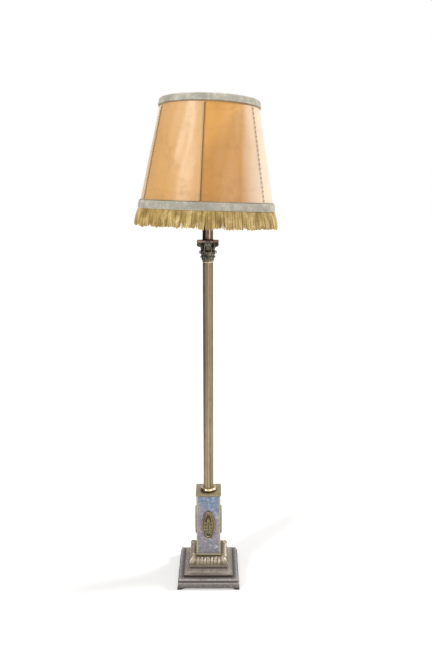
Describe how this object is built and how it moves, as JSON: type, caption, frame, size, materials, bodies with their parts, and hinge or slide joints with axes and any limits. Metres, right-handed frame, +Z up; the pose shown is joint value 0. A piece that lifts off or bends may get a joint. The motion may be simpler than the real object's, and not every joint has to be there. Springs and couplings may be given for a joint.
{
  "type": "candlestick floor lamp",
  "caption": "Tall classical floor lamp: square stepped base, pedestal with oval medallions, reeded column, leafy capital and a wide fringed parchment shade.",
  "frame": {"origin": "on the floor, under the middle of the base and the column's axis", "axes": "+Z up, the front face seen in the picture looks along -Y, +X to the viewer's right"},
  "size_m": [0.4821, 0.4824, 1.705],
  "materials": {
    "dark_bronze": "dark bronze lacquer, glossy, worn to brass on the edges",
    "pewter": "grey-brown metallic lacquer with rubbed edges",
    "old_gilt": "old gilt with dark toning in the hollows",
    "bright_brass": "polished brass",
    "antique_brass": "antique brass, satin, brushed along its length",
    "medallion_gilt": "old gilt relief, dark in the ground",
    "blue_paint": "blue-grey painted panel with lilac and pale clouding",
    "parchment": "oiled parchment, mottled amber and cream",
    "grey_braid": "grey-green woven braid",
    "gold_bullion": "gold twisted rayon bullion",
    "frame_wire": "thinly painted steel wire",
    "holder_brass": "lacquered brass, satin",
    "contact_brass": "bare brass",
    "insulator_ceramic": "white steatite",
    "rotor_plastic": "black moulded plastic",
    "bulb_metal": "nickel-plated",
    "bulb_glass": "pearl glass",
    "stem_glass": "clear glass with wires",
    "plate_steel": "zinc-plated steel",
    "ballast_iron": "raw cast iron",
    "bush_rubber": "dark brown moulded bush"
  },
  "bodies": {
    "stand": {"bracket_feet": "dark_bronze", "base_plinth": "pewter", "cord_bush": "bush_rubber", "base_step": "pewter", "leaf_moulding": "old_gilt", "ballast_weight": "ballast_iron", "bottom_plate": "plate_steel", "bottom_screws": "plate_steel", "die_shell": "pewter", "panel_front": "blue_paint", "panel_right": "blue_paint", "panel_back": "blue_paint", "panel_left": "blue_paint", "medallion_front": "medallion_gilt", "medallion_right": "medallion_gilt", "medallion_back": "medallion_gilt", "medallion_left": "medallion_gilt", "cap_plate": "old_gilt", "collar_ring": "bright_brass", "column_tube": "antique_brass", "astragal_ring": "bright_brass", "capital": "dark_bronze", "neck_tube": "dark_bronze", "neck_cap": "dark_bronze", "tie_rod": "plate_steel", "rod_nuts": "plate_steel", "holder_cap": "holder_brass", "holder_shell": "holder_brass", "holder_insulator": "insulator_ceramic", "holder_screw_shell": "contact_brass", "centre_contact": "contact_brass", "shade_ring_nut": "holder_brass", "bulb_cap": "bulb_metal", "bulb_glass": "bulb_glass", "bulb_stem": "stem_glass"},
    "switch": {"switch_key": "holder_brass", "switch_rotor": "rotor_plastic"},
    "shade": {"fitter_ring": "frame_wire", "spider_arms": "frame_wire", "top_ring": "frame_wire", "bottom_ring": "frame_wire", "shade_struts": "frame_wire", "parchment_1": "parchment", "parchment_2": "parchment", "parchment_3": "parchment", "parchment_4": "parchment", "parchment_5": "parchment", "parchment_6": "parchment", "top_braid": "grey_braid", "bottom_braid": "grey_braid", "fringe": "gold_bullion"}
  },
  "joints": [
    {"name": "shade_turn", "type": "hinge", "parent": "stand", "child": "shade", "pos_m": [0, 0, 1.4741], "axis": [0, 0, 1], "continuous": true},
    {"name": "switch_turn", "type": "hinge", "parent": "stand", "child": "switch", "pos_m": [0, 0, 1.459], "axis": [0, -1, 0], "continuous": true}
  ]
}
